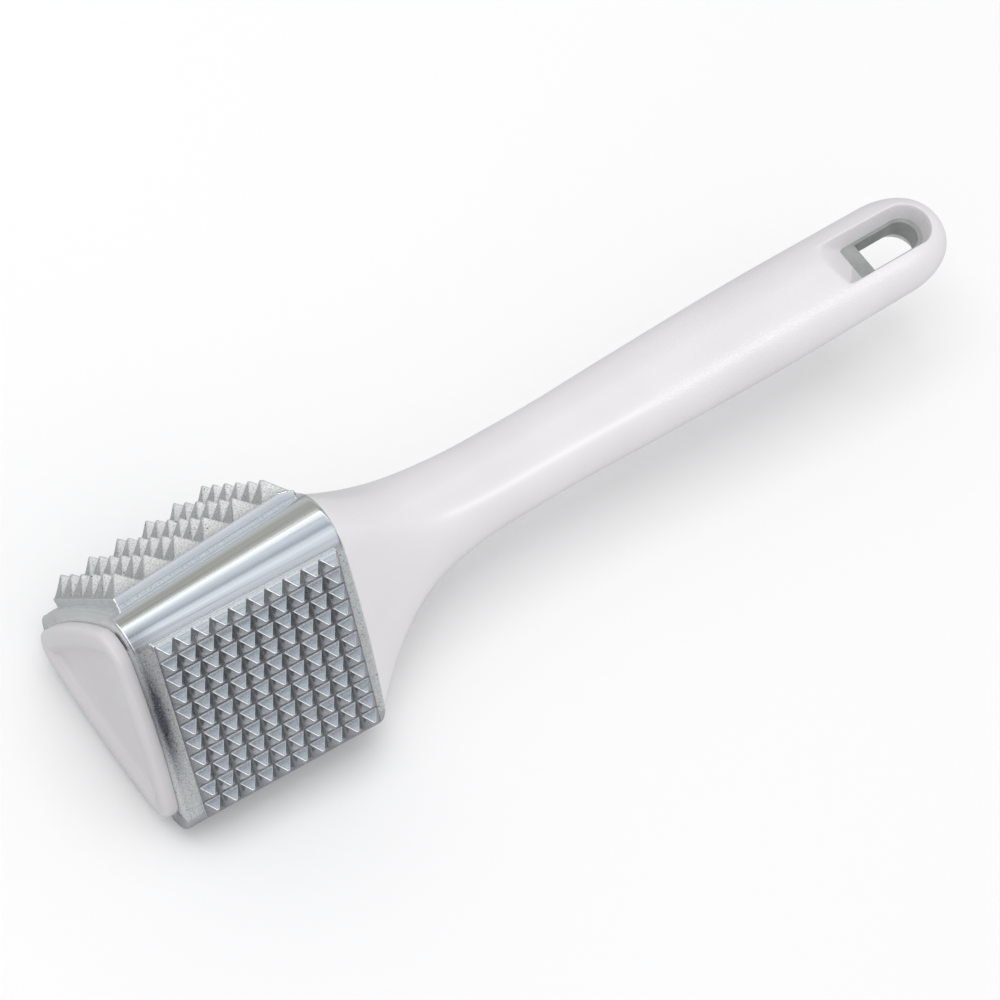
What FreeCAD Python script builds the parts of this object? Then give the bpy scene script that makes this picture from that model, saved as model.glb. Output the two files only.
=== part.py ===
import FreeCAD, Part
import math
import os

import Sketcher

# Three-sided meat mallet: a hollow cast head with a coarse, a fine and a plain striking face,
# a moulded handle with a core bar inside, and a moulded cap that closes the head.
#
# Every piece is drawn in the handle's own frame: X runs along the handle from the head's open
# end to the hanging eye, with X = 0 on the casting's end face, and the plain face points down.
# The head grows towards the handle, so each face is tilted by the same small taper angle.
# The finished pieces are then placed so that the plain face lies flat on Z = 0, face up to +Z,
# with the origin at the middle of that face.

doc = FreeCAD.newDocument("meat_mallet")
Vector = FreeCAD.Vector
Rotation = FreeCAD.Rotation
Placement = FreeCAD.Placement

# ---------------------------------------------------------------- driving dimensions (mm)
DIMENSIONS = {
    # head casting
    "head_length": 57.5,
    "inradius_cap": 23.5,        # axis to the crown of each face, at the cap end
    "inradius_neck": 26.5,       # the same at the handle end
    "corner_cap": 7.4,           # radius of the three long polished edges, at the cap end
    "corner_neck": 11.4,         # the same at the handle end
    "crown_radius": 258.0,       # each side of the section is a shallow arc of this radius
    "wall": 6.0,
    "cavity_depth": 50.0,
    "cavity_corner": 4.0,
    "foot_recess": 3.0,
    # fine teeth
    "fine_pitch": 5.0,
    "fine_height": 2.65,
    "fine_columns": 10,
    "fine_rows": 11,
    "fine_start": 4.6,           # from the cap end to the first tooth
    "fine_tip": 0.3,
    "fine_valley": 0.35,
    # coarse teeth
    "coarse_pitch": 8.6,
    "coarse_height": 4.5,
    "coarse_count": 6,
    "coarse_start": 3.7,
    "coarse_lift": 1.5,
    "coarse_tip": 0.5,
    "coarse_valley": 0.4,
    # plain face
    "plain_length": 51.5,
    "plain_width": 52.0,
    "plain_start": 3.0,
    "field_embed": 3.0,          # how far a tooth field reaches into the wall
    # handle moulding
    "handle_length": 208.5,
    "flare_inset": 1.4,
    "neck_radius": 12.1,
    "swell_radius": 13.9,
    "swell_from_head": 150.0,
    "eye_radius": 13.8,
    "grip_thinning": 0.86,
    "eye_thinning": 0.78,
    # hanging eye
    "funnel_start": 169.0,       # from the head to the funnel's near end
    "funnel_end": 203.2,
    "funnel_half_width": 6.3,
    "ledge_start": 177.3,
    "ledge_end": 201.5,
    "ledge_half_width": 5.5,
    "eye_start": 182.0,
    "eye_end": 200.0,
    "eye_half_width": 4.6,
    # core bar
    "core_thickness": 6.2,
    "core_width": 12.0,
    "ring_half_width": 8.0,
    "ring_end": 203.5,
    "foot_size": 20.0,
    "foot_thickness": 7.0,
    # clamp screw and washer
    "screw_diameter": 6.0,
    "insert_diameter": 9.0,
    "insert_length": 22.0,
    "screw_length": 25.0,
    "screw_head_diameter": 10.0,
    "screw_head_height": 6.0,
    "socket_flats": 5.0,
    "socket_depth": 3.2,
    "clearance_hole": 6.6,
    "washer_diameter": 18.0,
    "washer_thickness": 1.6,
    # end cap
    "cap_margin": 2.5,
    "cap_corner": 7.1,
    "cap_crown": 170.0,
    "cap_proud": 3.6,
    "cap_plate": 6.0,
    "cap_dish_depth": 2.8,
    "cap_dish_inset": 6.5,
    "cap_skirt_depth": 9.0,
    "cap_skirt_wall": 1.8,
    "cap_clearance": 0.15,
    "cap_edge": 0.8,
}

sheet = doc.addObject("Spreadsheet::Sheet", "dimensions")
for row, (name, value) in enumerate(DIMENSIONS.items(), start=1):
    sheet.set(f"A{row}", name)
    sheet.set(f"B{row}", str(value))
    sheet.setAlias(f"B{row}", name)
doc.recompute()


def dim(name):
    """The value of one spreadsheet cell."""
    return float(getattr(sheet, name))


def bind(target, prop, expression):
    """Bind a property to the sheet; every name that is a cell is prefixed with the sheet."""
    words = sorted(DIMENSIONS, key=len, reverse=True)
    for number, word in enumerate(words):
        expression = expression.replace(word, f"@{number}@")
    for number, word in enumerate(words):
        expression = expression.replace(f"@{number}@", f"dimensions.{word}")
    target.setExpression(prop, expression)


# ---------------------------------------------------------------- shared helpers
def origin_item(body, role):
    """One of a body's own origin planes or axes, found by its role."""
    return next(item for item in body.Origin.OriginFeatures if item.Role == role)


def new_sketch(body, name, plane, offset=None):
    """A sketch on one of the body's origin planes, moved along its normal by an expression."""
    sketch = body.newObject("Sketcher::SketchObject", name)
    sketch.AttachmentSupport = (origin_item(body, plane), [""])
    sketch.MapMode = "FlatFace"
    if offset is not None:
        bind(sketch, ".AttachmentOffset.Base.z", offset)
    return sketch


def draw_polygon(sketch, points):
    """A closed outline of straight lines whose corners are fixed by bound distances."""
    corners = [Vector(x, y, 0) for x, y, _, _ in points]
    for first, second in zip(corners, corners[1:] + corners[:1]):
        sketch.addGeometry(Part.LineSegment(first, second), False)
    count = len(corners)
    for line in range(count):
        sketch.addConstraint(Sketcher.Constraint("Coincident", line, 2, (line + 1) % count, 1))
    for line, (x, y, x_rule, y_rule) in enumerate(points):
        for axis, number, rule in (("DistanceX", x, x_rule), ("DistanceY", y, y_rule)):
            index = sketch.addConstraint(
                Sketcher.Constraint(axis, -1, 1, line, 1, number))
            bind(sketch, f".Constraints[{index}]", rule)


def draw_circle(sketch, x, y, radius, rules):
    """One circle with its centre and radius bound to the sheet."""
    sketch.addGeometry(Part.Circle(Vector(x, y, 0), Vector(0, 0, 1), radius), False)
    for axis, number, rule in (("DistanceX", x, rules[0]), ("DistanceY", y, rules[1])):
        index = sketch.addConstraint(Sketcher.Constraint(axis, -1, 1, 0, 3, number))
        bind(sketch, f".Constraints[{index}]", rule)
    index = sketch.addConstraint(Sketcher.Constraint("Radius", 0, radius))
    bind(sketch, f".Constraints[{index}]", rules[2])


def corner_distance(inradius, corner, crown):
    """Distance from the axis to a corner circle's centre, for sides that are shallow arcs."""
    reach, gap = crown - inradius, crown - corner
    return (math.sqrt(4 * gap ** 2 - 3 * reach ** 2) - reach) / 2


def draw_three_sided(sketch, inradius, corner, crown, rules):
    """Three shallow side arcs joined by three tangent corner arcs, about the origin.

    The side at the bottom is the plain face's. rules bind inradius, corner and crown."""
    far = corner_distance(inradius, corner, crown)
    reach = crown - inradius
    lean = math.atan2(far * math.sin(math.radians(60)), reach + far / 2)
    for side in range(3):
        normal = math.radians(-90 + 120 * side)
        centre = Vector(-reach * math.cos(normal), -reach * math.sin(normal), 0)
        sketch.addGeometry(Part.ArcOfCircle(
            Part.Circle(centre, Vector(0, 0, 1), crown), normal - lean, normal + lean), False)
        turn = normal + math.radians(60)
        middle = Vector(far * math.cos(turn), far * math.sin(turn), 0)
        sketch.addGeometry(Part.ArcOfCircle(
            Part.Circle(middle, Vector(0, 0, 1), corner),
            normal + lean, normal + math.radians(120) - lean), False)
    for arc in range(6):
        sketch.addConstraint(Sketcher.Constraint("Tangent", arc, 2, (arc + 1) % 6, 1))
    inradius_rule, corner_rule, crown_rule = rules
    for side in range(3):
        for arc, radius, rule in ((2 * side, crown, crown_rule),
                                  (2 * side + 1, corner, corner_rule)):
            index = sketch.addConstraint(Sketcher.Constraint("Radius", arc, radius))
            bind(sketch, f".Constraints[{index}]", rule)
        normal = -90 + 120 * side
        for axis, share in (("DistanceX", math.cos(math.radians(normal))),
                            ("DistanceY", math.sin(math.radians(normal)))):
            if abs(share) < 1e-9:
                sketch.addConstraint(Sketcher.Constraint("PointOnObject", 2 * side, 3, -2))
                continue
            wave = "cos" if axis == "DistanceX" else "sin"
            index = sketch.addConstraint(
                Sketcher.Constraint(axis, -1, 1, 2 * side, 3, -reach * share))
            bind(sketch, f".Constraints[{index}]",
                 f"-(({crown_rule}) - ({inradius_rule})) * {wave}({normal} deg)")


def three_sided_sketch(body, name, offset, inradius, corner, crown="crown_radius"):
    """A three-sided section across the handle's axis, all three sizes given as expressions."""
    sketch = new_sketch(body, name, "YZ_Plane", offset)
    sizes = [rule_value(rule) for rule in (inradius, corner, crown)]
    draw_three_sided(sketch, *sizes, (inradius, corner, crown))
    return sketch


def rule_value(rule):
    """The number that an expression over the sheet gives now."""
    probe = doc.addObject("App::FeaturePython", "probe")
    probe.addProperty("App::PropertyFloat", "value")
    bind(probe, "value", rule)
    doc.recompute([probe])
    number = probe.value
    doc.removeObject(probe.Name)
    return number


def loft(body, kind, name, sketches):
    """A ruled PartDesign loft through the sketches."""
    feature = body.newObject(kind, name)
    feature.Profile = sketches[0]
    feature.Sections = sketches[1:]
    feature.Ruled = True
    return feature


def pad(body, name, sketch, length, reverse=False):
    feature = body.newObject("PartDesign::Pad", name)
    feature.Profile = sketch
    feature.Reversed = reverse
    bind(feature, "Length", length)
    return feature


def pocket(body, name, sketch, length, reverse=False, midplane=False):
    feature = body.newObject("PartDesign::Pocket", name)
    feature.Profile = sketch
    feature.Reversed = reverse
    feature.Midplane = midplane
    bind(feature, "Length", length)
    return feature


def repeat(body, name, original, axis, length, occurrences):
    """A linear pattern of one pocket along one of the body's own axes."""
    feature = body.newObject("PartDesign::LinearPattern", name)
    feature.Originals = [original]
    feature.Direction = (origin_item(body, axis), [""])
    bind(feature, "Length", length)
    bind(feature, "Occurrences", occurrences)
    body.Tip = feature
    return feature


# ---------------------------------------------------------------- where the faces lie
TAPER = math.degrees(math.atan(
    (dim("inradius_neck") - dim("inradius_cap")) / dim("head_length")))
COARSE_TURN, FINE_TURN, PLAIN_TURN = -60, 60, 180


def face_placement(turn):
    """Frame of one striking face: X along the face to the handle, Z along its outward normal."""
    around = Rotation(Vector(1, 0, 0), turn)
    return Placement(around.multVec(Vector(0, 0, dim("inradius_cap"))),
                     around * Rotation(Vector(0, 1, 0), -TAPER))


def rest_placement():
    """Puts the plain face on Z = 0, with the origin at the middle of that face."""
    tilt = Rotation(Vector(0, 1, 0), -TAPER)
    middle = dim("head_length") / 2
    slope = math.tan(math.radians(TAPER))
    foot = Vector(middle, 0, -dim("inradius_cap") - middle * slope)
    return Placement(-tilt.multVec(foot), tilt)


# ---------------------------------------------------------------- head casting
def head_blank():
    """Tapered three-sided casting: solid outside, cavity from the open end, foot recess, hole."""
    body = doc.addObject("PartDesign::Body", "head_blank")
    near = three_sided_sketch(body, "cap_section", "0", "inradius_cap", "corner_cap")
    far = three_sided_sketch(body, "neck_section", "head_length", "inradius_neck", "corner_neck")
    loft(body, "PartDesign::AdditiveLoft", "outside", [near, far])
    inner_near = three_sided_sketch(
        body, "cavity_mouth", "0", "inradius_cap - wall", "cavity_corner")
    inner_far = three_sided_sketch(
        body, "cavity_floor", "cavity_depth",
        "inradius_cap - wall + (inradius_neck - inradius_cap) * cavity_depth / head_length",
        "cavity_corner")
    loft(body, "PartDesign::SubtractiveLoft", "cavity", [inner_near, inner_far])

    half = dim("foot_size") / 2
    recess = new_sketch(body, "recess_outline", "YZ_Plane", "head_length")
    draw_polygon(recess, [(sy * half, sz * half, f"{sy} * foot_size / 2", f"{sz} * foot_size / 2")
                          for sy, sz in ((1, 1), (-1, 1), (-1, -1), (1, -1))])
    pocket(body, "foot_seat", recess, "foot_recess")
    hole = new_sketch(body, "screw_hole_outline", "YZ_Plane", "head_length")
    draw_circle(hole, 0, 0, dim("clearance_hole") / 2, ("0", "0", "clearance_hole / 2"))
    pocket(body, "screw_hole", hole, "head_length - cavity_depth + 1")
    return body


def tooth_field(name, turn, rows_rule, columns_rule, word, lift_rule):
    """A slab on one face, cut both ways by evenly spaced V grooves into square pyramids.

    word is the prefix of the field's cells: pitch, height, start, tip and valley."""
    pitch, height = dim(f"{word}_pitch"), dim(f"{word}_height")
    start, tip, valley = dim(f"{word}_start"), dim(f"{word}_tip"), dim(f"{word}_valley")
    rows, columns = rule_value(rows_rule), rule_value(columns_rule)
    lift = rule_value(lift_rule)
    body = doc.addObject("PartDesign::Body", name)

    outline = new_sketch(body, f"{name}_outline", "XY_Plane", "-field_embed")
    sides = [(start, -0.5, f"{word}_start"),
             (start + columns * pitch, 0.5, f"{word}_start + ({columns_rule}) * {word}_pitch")]
    points = []
    for (x, _, x_rule), shares in ((sides[0], (0.5, -0.5)), (sides[1], (-0.5, 0.5))):
        for share in shares:
            points.append((x, share * rows * pitch, x_rule,
                           f"{share} * ({rows_rule}) * {word}_pitch"))
    draw_polygon(outline, points)
    pad(body, f"{name}_slab", outline, f"field_embed + ({lift_rule}) + {word}_height")

    low_half, high_half = valley / 2, (pitch - tip) / 2
    top = lift + height
    slope_rule = f"(({word}_pitch - {word}_tip) / 2 - {word}_valley / 2) / {word}_height"
    over = 1.0
    wide = high_half + over * (high_half - low_half) / height
    wide_rule = f"({word}_pitch - {word}_tip) / 2 + {over} * {slope_rule}"

    def groove(suffix, plane, centre, centre_rule, length_rule):
        """One V groove, a little taller than the teeth, across the whole slab."""
        sketch = new_sketch(body, f"{name}_{suffix}_profile", plane)
        draw_polygon(sketch, [
            (centre - low_half, lift, f"{centre_rule} - {word}_valley / 2", lift_rule),
            (centre + low_half, lift, f"{centre_rule} + {word}_valley / 2", lift_rule),
            (centre + wide, top + over, f"{centre_rule} + {wide_rule}",
             f"({lift_rule}) + {word}_height + {over}"),
            (centre - wide, top + over, f"{centre_rule} - ({wide_rule})",
             f"({lift_rule}) + {word}_height + {over}")])
        return pocket(body, f"{name}_{suffix}", sketch, length_rule, midplane=True)

    across = groove("cross_groove", "XZ_Plane", start, f"{word}_start",
                    f"({rows_rule}) * {word}_pitch * 2")
    repeat(body, f"{name}_cross_grooves", across, "X_Axis",
           f"({columns_rule}) * {word}_pitch", f"({columns_rule}) + 1")
    along = groove("long_groove", "YZ_Plane", -rows * pitch / 2,
                   f"-({rows_rule}) * {word}_pitch / 2",
                   f"({columns_rule}) * {word}_pitch * 4")
    repeat(body, f"{name}_long_grooves", along, "Y_Axis",
           f"({rows_rule}) * {word}_pitch", f"({rows_rule}) + 1")
    body.Placement = face_placement(turn)
    return body


def plain_slab():
    """The flat of the plain face: a slab flush with the crown of that side."""
    box = doc.addObject("Part::Box", "plain_slab")
    for prop, rule in (("Length", "plain_length"), ("Width", "plain_width"),
                       ("Height", "field_embed")):
        bind(box, prop, rule)
    corner = Vector(dim("plain_start"), -dim("plain_width") / 2, -dim("field_embed"))
    box.Placement = face_placement(PLAIN_TURN) * Placement(corner, Rotation())
    return box


def build_head():
    """The blank with its coarse, fine and plain fields fused on."""
    head = doc.addObject("Part::MultiFuse", "head")
    head.Shapes = [
        head_blank(),
        tooth_field("coarse_field", COARSE_TURN, "coarse_count", "coarse_count",
                    "coarse", "coarse_lift"),
        tooth_field("fine_field", FINE_TURN, "fine_rows", "fine_columns", "fine", "0"),
        plain_slab()]
    return head


# ---------------------------------------------------------------- core bar
def build_core():
    """Flat bar from the head to the hanging eye, with a square foot that seats in the head."""
    body = doc.addObject("PartDesign::Body", "core_bar")
    base, half = dim("head_length"), dim("core_width") / 2
    bar = new_sketch(body, "bar_outline", "XY_Plane", "-core_thickness / 2")
    end = base + dim("ring_end") - dim("ring_half_width")
    draw_polygon(bar, [
        (base, half, "head_length", "core_width / 2"),
        (base, -half, "head_length", "-core_width / 2"),
        (end, -half, "head_length + ring_end - ring_half_width", "-core_width / 2"),
        (end, half, "head_length + ring_end - ring_half_width", "core_width / 2")])
    pad(body, "bar", bar, "core_thickness")
    eye = new_sketch(body, "eye_outline", "XY_Plane", "-core_thickness / 2")
    draw_d_shape(eye, "head_length + ledge_start - 6", "head_length + ring_end",
                 "ring_half_width")
    pad(body, "eye_ring", eye, "core_thickness")
    window = new_sketch(body, "window_outline", "XY_Plane", "-core_thickness")
    draw_d_shape(window, "head_length + eye_start", "head_length + eye_end", "eye_half_width")
    pocket(body, "window", window, "core_thickness * 3", midplane=True)

    half = dim("foot_size") / 2
    foot = new_sketch(body, "foot_outline", "YZ_Plane", "head_length - foot_recess")
    draw_polygon(foot, [(sy * half, sz * half, f"{sy} * foot_size / 2", f"{sz} * foot_size / 2")
                        for sy, sz in ((1, 1), (-1, 1), (-1, -1), (1, -1))])
    pad(body, "foot", foot, "foot_thickness")
    boss = new_sketch(body, "boss_outline", "YZ_Plane", "head_length")
    draw_circle(boss, 0, 0, 6.5, ("0", "0", "screw_diameter / 2 + 3.5"))
    pad(body, "thread_boss", boss, "screw_length")
    bore = new_sketch(body, "insert_bore_outline", "YZ_Plane", "head_length - foot_recess")
    draw_circle(bore, 0, 0, dim("insert_diameter") / 2, ("0", "0", "insert_diameter / 2"))
    pocket(body, "insert_bore", bore, "insert_length", reverse=True)
    return body


def build_insert():
    """Threaded metal bush moulded into the core bar, for the clamp screw."""
    body = doc.addObject("PartDesign::Body", "thread_insert")
    outline = new_sketch(body, "insert_outline", "YZ_Plane", "head_length - foot_recess")
    draw_circle(outline, 0, 0, dim("insert_diameter") / 2, ("0", "0", "insert_diameter / 2"))
    pad(body, "insert_bush", outline, "insert_length")
    thread = new_sketch(body, "insert_thread_outline", "YZ_Plane", "head_length - foot_recess")
    draw_circle(thread, 0, 0, dim("screw_diameter") / 2, ("0", "0", "screw_diameter / 2"))
    pocket(body, "insert_thread", thread, "insert_length", reverse=True)
    return body


def draw_d_shape(sketch, start_rule, end_rule, half_rule):
    """A straight end towards the head, two straight sides and a half circle at the tip."""
    start, end, half = (rule_value(rule) for rule in (start_rule, end_rule, half_rule))
    centre = end - half
    corners = [Vector(centre, half, 0), Vector(start, half, 0),
               Vector(start, -half, 0), Vector(centre, -half, 0)]
    for first, second in zip(corners, corners[1:]):
        sketch.addGeometry(Part.LineSegment(first, second), False)
    sketch.addGeometry(Part.ArcOfCircle(
        Part.Circle(Vector(centre, 0, 0), Vector(0, 0, 1), half), -math.pi / 2, math.pi / 2))
    for line in (0, 1):
        sketch.addConstraint(Sketcher.Constraint("Coincident", line, 2, line + 1, 1))
    sketch.addConstraint(Sketcher.Constraint("Tangent", 2, 2, 3, 1))
    sketch.addConstraint(Sketcher.Constraint("Tangent", 3, 2, 0, 1))
    sketch.addConstraint(Sketcher.Constraint("Vertical", 1))
    sketch.addConstraint(Sketcher.Constraint("Horizontal", 0))
    sketch.addConstraint(Sketcher.Constraint("PointOnObject", 3, 3, -1))
    for kind, place, number, rule in (
            ("DistanceX", (-1, 1, 1, 1), start, start_rule),
            ("DistanceX", (-1, 1, 3, 3), centre, f"({end_rule}) - ({half_rule})"),
            ("Radius", (3,), half, half_rule)):
        index = sketch.addConstraint(Sketcher.Constraint(kind, *place, number))
        bind(sketch, f".Constraints[{index}]", rule)


# ---------------------------------------------------------------- handle moulding
def handle_section(x, far, corner, lean, thinning):
    """Closed wire at x of six tangent arcs, flattened across the plain face by thinning.

    Three corner arcs of radius corner sit at distance far from the axis. Three side arcs join
    them, each spanning lean degrees to either side of its normal. With far at zero the outline
    is one circle, whatever the lean."""
    half_span = math.radians(lean)
    ratio = math.sin(math.radians(60)) / math.tan(half_span) - 0.5
    crown = corner + far * math.hypot(ratio + 0.5, math.sin(math.radians(60)))
    arcs = []
    for side in range(3):
        normal = math.radians(-90 + 120 * side)
        turn = normal + math.radians(60)
        for reach, angle, radius, start, end in (
                (-ratio * far, normal, crown, normal - half_span, normal + half_span),
                (far, turn, corner, normal + half_span,
                 normal + math.radians(120) - half_span)):
            centre = Vector(reach * math.cos(angle), reach * math.sin(angle), 0)
            circle = Part.Circle(centre, Vector(0, 0, 1), radius)
            arcs.append(Part.ArcOfCircle(circle, start, end).toShape())
    flat = FreeCAD.Matrix()
    flat.A22 = thinning
    wire = Part.Wire(Part.__sortEdges__(arcs)).transformGeometry(flat)
    wire.Placement = Placement(Vector(x, 0, 0), Rotation(Vector(1, 1, 1), 120))
    return wire


def handle_stations():
    """Sections from the head to the tip: x, far, corner radius, lean and thinning."""
    base, length = dim("head_length"), dim("handle_length")
    neck, swell, eye = dim("neck_radius"), dim("swell_radius"), dim("eye_radius")
    grip, flat = dim("grip_thinning"), dim("eye_thinning")
    far = corner_distance(dim("inradius_neck"), dim("corner_neck"), dim("crown_radius"))
    root = dim("corner_neck") - dim("flare_inset")
    lean = math.degrees(math.atan2(
        far * math.sin(math.radians(60)),
        dim("crown_radius") - dim("inradius_neck") + far / 2))
    stations = [(0.0, far, root, lean, 1.0), (4.5, far * 0.83, root, lean + 1, 1.0),
                (10.5, far * 0.62, root, lean + 4, 1.0),
                (18.5, far * 0.385, neck - 1.7, lean + 8, 1.0),
                (26.5, far * 0.2, neck - 0.9, lean + 13, 0.99),
                (34.5, far * 0.085, neck - 0.2, lean + 18, 0.97),
                (43.0, far * 0.025, neck + 0.1, 29, 0.95), (52.0, 0.0, neck + 0.1, 30, 0.93),
                (74.0, 0.0, neck, 30, 0.91),
                (100.0, 0.0, (neck + swell) / 2 - 0.1, 30, grip + 0.02),
                (dim("swell_from_head"), 0.0, swell, 30, grip),
                (172.0, 0.0, (swell + eye) / 2, 30, (grip + flat) / 2),
                (190.0, 0.0, eye, 30, flat)]
    dome = length - 190.0
    for angle in (25, 45, 62, 75, 84):
        stations.append((190.0 + dome * math.sin(math.radians(angle)), 0.0,
                         eye * math.cos(math.radians(angle)) ** 0.8, 30, flat))
    return [(base + x, *rest) for x, *rest in stations]


def build_handle(core):
    """The moulding over the core bar: a loft, less the core bar and the funnels of the eye."""
    outside = doc.addObject("Part::Feature", "handle_outside")
    outside.Shape = Part.makeLoft([handle_section(*s) for s in handle_stations()], True, False)

    funnels = []
    for side, name in ((1, "upper_funnel"), (-1, "lower_funnel")):
        body = doc.addObject("PartDesign::Body", name)
        depth = dim("swell_radius") + 1
        ledge = new_sketch(body, f"{name}_ledge", "XY_Plane",
                           f"{side} * core_thickness / 2")
        draw_d_shape(ledge, "head_length + ledge_start", "head_length + ledge_end",
                     "ledge_half_width")
        rim = new_sketch(body, f"{name}_rim", "XY_Plane",
                         f"{side} * eye_radius * eye_thinning")
        draw_d_shape(rim, "head_length + funnel_start", "head_length + funnel_end",
                     "funnel_half_width + 0.6")
        loft(body, "PartDesign::AdditiveLoft", f"{name}_loft", [ledge, rim])
        top = new_sketch(body, f"{name}_top", "XY_Plane", f"{side} * eye_radius * eye_thinning")
        draw_d_shape(top, "head_length + funnel_start", "head_length + funnel_end",
                     "funnel_half_width + 0.6")
        pad(body, f"{name}_above", top, str(depth), reverse=side < 0)
        funnels.append(body)
    window = doc.addObject("PartDesign::Body", "eye_window")
    outline = new_sketch(window, "eye_window_outline", "XY_Plane", "-core_thickness")
    draw_d_shape(outline, "head_length + eye_start", "head_length + eye_end", "eye_half_width")
    pad(window, "eye_window_pad", outline, "core_thickness * 2")

    bush = doc.addObject("Part::Cylinder", "insert_space")
    bind(bush, "Radius", "insert_diameter / 2")
    bind(bush, "Height", "insert_length")
    bush.Placement = Placement(Vector(dim("head_length") - dim("foot_recess"), 0, 0),
                               Rotation(Vector(0, 1, 0), 90))

    removed = doc.addObject("Part::MultiFuse", "handle_openings")
    removed.Shapes = [core, *funnels, window, bush]
    handle = doc.addObject("Part::Cut", "handle")
    handle.Base = outside
    handle.Tool = removed
    return handle


# ---------------------------------------------------------------- end cap
def build_cap():
    """Dished cover plate over the open end, with a skirt that presses into the cavity."""
    body = doc.addObject("PartDesign::Body", "end_cap")
    plate = three_sided_sketch(body, "plate_outline", "-cap_proud",
                               "inradius_cap - cap_margin", "cap_corner", "cap_crown")
    pad(body, "plate", plate, "cap_proud")
    plug_size = ("inradius_cap - wall - cap_clearance", "cavity_corner - cap_clearance")
    plug = three_sided_sketch(body, "plug_outline", "0", *plug_size)
    pad(body, "plug", plug, "cap_skirt_depth")
    inside = three_sided_sketch(
        body, "skirt_inside", "cap_plate - cap_proud",
        "inradius_cap - wall - cap_clearance - cap_skirt_wall",
        "cavity_corner - cap_clearance - cap_skirt_wall")
    pocket(body, "skirt", inside, "cap_skirt_depth", reverse=True)
    dish_top = three_sided_sketch(
        body, "dish_rim", "-cap_proud",
        "inradius_cap - cap_margin - cap_dish_inset + 1.2", "3.4")
    dish_floor = three_sided_sketch(
        body, "dish_floor", "-cap_proud + cap_dish_depth",
        "inradius_cap - cap_margin - cap_dish_inset - 1.2", "1.6")
    loft(body, "PartDesign::SubtractiveLoft", "dish", [dish_top, dish_floor])
    return body


# ---------------------------------------------------------------- clamp screw and washer
def build_screw():
    """Socket-head screw from inside the cavity, through the end wall into the core bar."""
    body = doc.addObject("PartDesign::Body", "clamp_screw")
    under = "cavity_depth - washer_thickness"
    shank = new_sketch(body, "shank_outline", "YZ_Plane", under)
    draw_circle(shank, 0, 0, dim("screw_diameter") / 2, ("0", "0", "screw_diameter / 2"))
    pad(body, "shank", shank, "screw_length")
    head = new_sketch(body, "screw_head_outline", "YZ_Plane", f"{under} - screw_head_height")
    draw_circle(head, 0, 0, dim("screw_head_diameter") / 2,
                ("0", "0", "screw_head_diameter / 2"))
    pad(body, "screw_head", head, "screw_head_height")
    socket = new_sketch(body, "socket_outline", "YZ_Plane", f"{under} - screw_head_height")
    reach = dim("socket_flats") / math.sqrt(3)
    hexagon = []
    for corner in range(6):
        angle = 60 * corner
        x, y = (reach * wave(math.radians(angle)) for wave in (math.cos, math.sin))
        hexagon.append((x, y, f"socket_flats / sqrt(3) * cos({angle} deg)",
                        f"socket_flats / sqrt(3) * sin({angle} deg)"))
    draw_polygon(socket, hexagon)
    pocket(body, "socket", socket, "socket_depth", reverse=True)
    return body


def build_washer():
    """Plain washer between the screw's head and the end wall."""
    body = doc.addObject("PartDesign::Body", "washer")
    disc = new_sketch(body, "disc_outline", "YZ_Plane", "cavity_depth - washer_thickness")
    draw_circle(disc, 0, 0, dim("washer_diameter") / 2, ("0", "0", "washer_diameter / 2"))
    pad(body, "disc", disc, "washer_thickness")
    hole = new_sketch(body, "washer_hole_outline", "YZ_Plane", "cavity_depth")
    draw_circle(hole, 0, 0, dim("clearance_hole") / 2, ("0", "0", "clearance_hole / 2"))
    pocket(body, "washer_hole", hole, "washer_thickness")
    return body


# ---------------------------------------------------------------- assemble, check, write
core_bar = build_core()
pieces = [build_head(), core_bar, build_handle(core_bar), build_cap(), build_insert(),
          build_screw(), build_washer()]
home = rest_placement()
for item in doc.Objects:
    made_here = item.TypeId in ("PartDesign::Body", "Part::Box", "Part::Cylinder",
                                "Part::Feature")
    if made_here:
        item.Placement = home * item.Placement
doc.recompute()

for item in doc.Objects:
    if "Invalid" in item.State or "Error" in item.State:
        raise RuntimeError(f"{item.Label} failed: {item.State}")
for piece in pieces:
    if piece.Shape.isNull() or not piece.Shape.isValid():
        raise RuntimeError(f"{piece.Label} has no valid shape")

os.makedirs("parts", exist_ok=True)
for piece in pieces:
    piece.Shape.exportStep(f"parts/{piece.Label}.step")
    print(piece.Label, "solids", len(piece.Shape.Solids), "volume", round(piece.Shape.Volume, 1))
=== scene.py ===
import math

import bmesh
import bpy
import numpy as np
from mathutils import Matrix, Vector


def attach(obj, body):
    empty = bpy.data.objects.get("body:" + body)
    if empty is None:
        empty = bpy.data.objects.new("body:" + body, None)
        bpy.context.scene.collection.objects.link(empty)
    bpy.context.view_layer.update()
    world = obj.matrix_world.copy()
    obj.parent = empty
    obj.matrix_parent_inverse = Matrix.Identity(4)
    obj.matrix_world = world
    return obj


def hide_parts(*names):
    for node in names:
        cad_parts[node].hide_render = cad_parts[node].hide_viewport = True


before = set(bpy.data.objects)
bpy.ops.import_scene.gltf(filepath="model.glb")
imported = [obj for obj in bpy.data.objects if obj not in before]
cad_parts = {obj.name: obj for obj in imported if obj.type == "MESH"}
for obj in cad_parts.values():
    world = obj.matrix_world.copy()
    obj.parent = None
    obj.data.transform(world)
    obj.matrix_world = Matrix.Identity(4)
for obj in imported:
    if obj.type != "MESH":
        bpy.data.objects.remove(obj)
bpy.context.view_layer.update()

# Three-sided meat mallet. Shapes are worked out in the handle's own frame, in millimetres:
# X runs along the handle from the casting's open end, and the plain face points down.
# in_part_frame() then turns them into the part's frame.

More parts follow.
